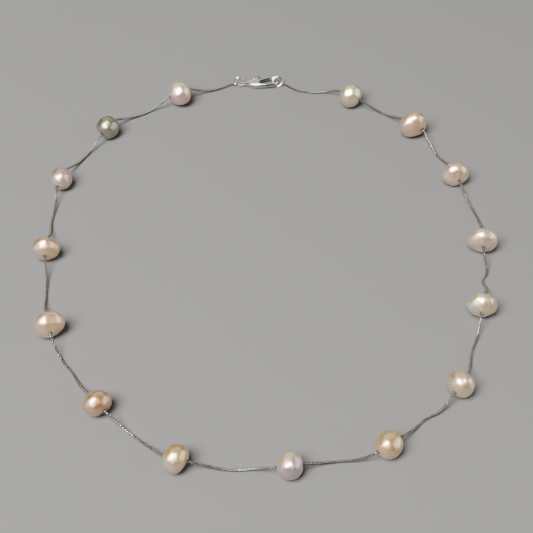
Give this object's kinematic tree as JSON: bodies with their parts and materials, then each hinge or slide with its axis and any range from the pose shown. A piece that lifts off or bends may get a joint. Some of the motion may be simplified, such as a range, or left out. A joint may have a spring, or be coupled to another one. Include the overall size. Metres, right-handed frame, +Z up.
{
  "type": "station necklace",
  "caption": "Station necklace: drilled freshwater pearls spaced along a fine box chain, closed by a claw clasp and ring, lying as an open loop.",
  "frame": {"origin": "on the surface that the necklace lies on, at the middle of its outline", "axes": "+Y towards the clasp at the far side, along the loop's longer way; +X to the right as seen in the picture; +Z up from the surface"},
  "size_m": [0.1374, 0.1555, 0.009],
  "materials": {
    "pearl_01": "lustrous pinkish white nacre",
    "pearl_02": "lustrous grey-green bronze nacre",
    "pearl_03": "lustrous pale pink and lilac nacre",
    "pearl_04": "lustrous peach nacre",
    "pearl_05": "lustrous cream and peach nacre",
    "pearl_06": "lustrous bronze peach nacre",
    "pearl_07": "lustrous golden nacre",
    "pearl_08": "lustrous white and lavender nacre",
    "pearl_09": "lustrous golden peach nacre",
    "pearl_10": "lustrous cream and peach nacre",
    "pearl_11": "lustrous cream nacre with yellow-green and lilac",
    "pearl_12": "lustrous lilac and cream nacre",
    "pearl_13": "lustrous peach nacre",
    "pearl_14": "lustrous peach nacre",
    "pearl_15": "lustrous pale green and cream nacre",
    "silver": "polished sterling silver"
  },
  "bodies": {
    "necklace": {"pearl_01": "pearl_01", "pearl_02": "pearl_02", "pearl_03": "pearl_03", "pearl_04": "pearl_04", "pearl_05": "pearl_05", "pearl_06": "pearl_06", "pearl_07": "pearl_07", "pearl_08": "pearl_08", "pearl_09": "pearl_09", "pearl_10": "pearl_10", "pearl_11": "pearl_11", "pearl_12": "pearl_12", "pearl_13": "pearl_13", "pearl_14": "pearl_14", "pearl_15": "pearl_15", "chain": "silver", "end_loop_left": "silver", "end_loop_right": "silver", "jump_ring": "silver", "end_ring": "silver", "clasp_body": "silver", "clasp_pin": "silver"},
    "lever": {"clasp_lever": "silver"}
  },
  "joints": [
    {"name": "lever_pivot", "type": "hinge", "parent": "necklace", "child": "lever", "pos_m": [-0.00395, 0.07478, 0.00113], "axis": [0.0628, 0, -0.998], "range_deg": [0, 18], "stiffness_Nm_per_rad": 0.0005}
  ]
}
